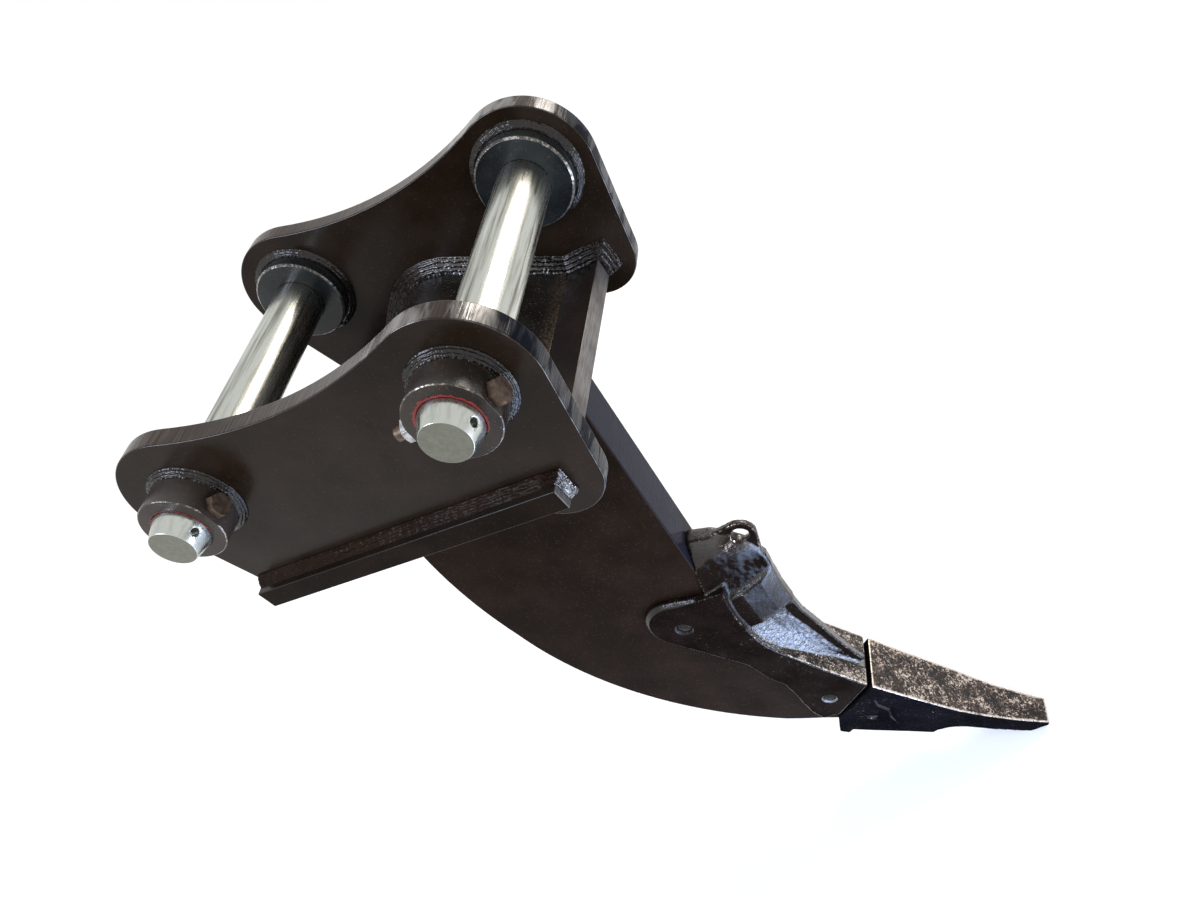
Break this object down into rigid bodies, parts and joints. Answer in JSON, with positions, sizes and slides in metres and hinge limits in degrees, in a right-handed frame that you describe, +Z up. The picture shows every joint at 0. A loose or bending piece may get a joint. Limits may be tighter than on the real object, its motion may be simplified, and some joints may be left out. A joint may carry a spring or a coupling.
{
  "type": "excavator ripper attachment",
  "caption": "Single-shank excavator ripper: pinned twin-plate head, curved plate shank, cast shank protector with lifting eye, and a cast digging tip.",
  "frame": {"origin": "centre of the rear head pin, midway between the two side plates", "axes": "+X from the rear head pin to the front one and on to the tip's side; +Y along the head pins; +Z up, square to the base plate. In work the excavator's arm holds the two head pins."},
  "size_m": [0.909, 0.6614, 1.5719],
  "materials": {
    "black_enamel": "glossy black enamel on steel plate",
    "enamelled_weld": "glossy black enamel over rough multi-pass weld",
    "enamelled_casting": "glossy black enamel over sand-cast steel",
    "worn_casting": "thin dark paint worn down to brown cast steel",
    "bright_pin": "bright zinc on turned steel",
    "dark_lock_pin": "steel with rubbed edges",
    "bolt_steel": "brown oxidised steel",
    "zinc_nut": "zinc plated"
  },
  "bodies": {
    "root": {"base_plate": "black_enamel", "cheek_lock_pin": "dark_lock_pin", "cover_plate": "black_enamel", "front_inner_boss_left": "black_enamel", "front_inner_boss_right": "black_enamel", "front_inner_boss_weld_left": "enamelled_weld", "front_inner_boss_weld_right": "enamelled_weld", "front_outer_boss_left": "black_enamel", "front_outer_boss_right": "black_enamel", "front_outer_boss_weld_left": "enamelled_weld", "front_outer_boss_weld_right": "enamelled_weld", "front_pin": "bright_pin", "front_retaining_bolt": "bolt_steel", "front_retaining_nut": "zinc_nut", "inner_seam_weld_left": "enamelled_weld", "inner_seam_weld_right": "enamelled_weld", "outer_seam_weld_left": "enamelled_weld", "outer_seam_weld_right": "enamelled_weld", "protector": "enamelled_casting", "rear_inner_boss_left": "black_enamel", "rear_inner_boss_right": "black_enamel", "rear_inner_boss_weld_left": "enamelled_weld", "rear_inner_boss_weld_right": "enamelled_weld", "rear_outer_boss_left": "black_enamel", "rear_outer_boss_right": "black_enamel", "rear_outer_boss_weld_left": "enamelled_weld", "rear_outer_boss_weld_right": "enamelled_weld", "rear_pin": "bright_pin", "rear_retaining_bolt": "bolt_steel", "shank": "black_enamel", "shank_weld": "enamelled_weld", "side_plate_left": "black_enamel", "side_plate_right": "black_enamel", "tip": "worn_casting", "tip_lock_pin": "dark_lock_pin", "wing_lock_pin": "dark_lock_pin"}
  },
  "joints": []
}
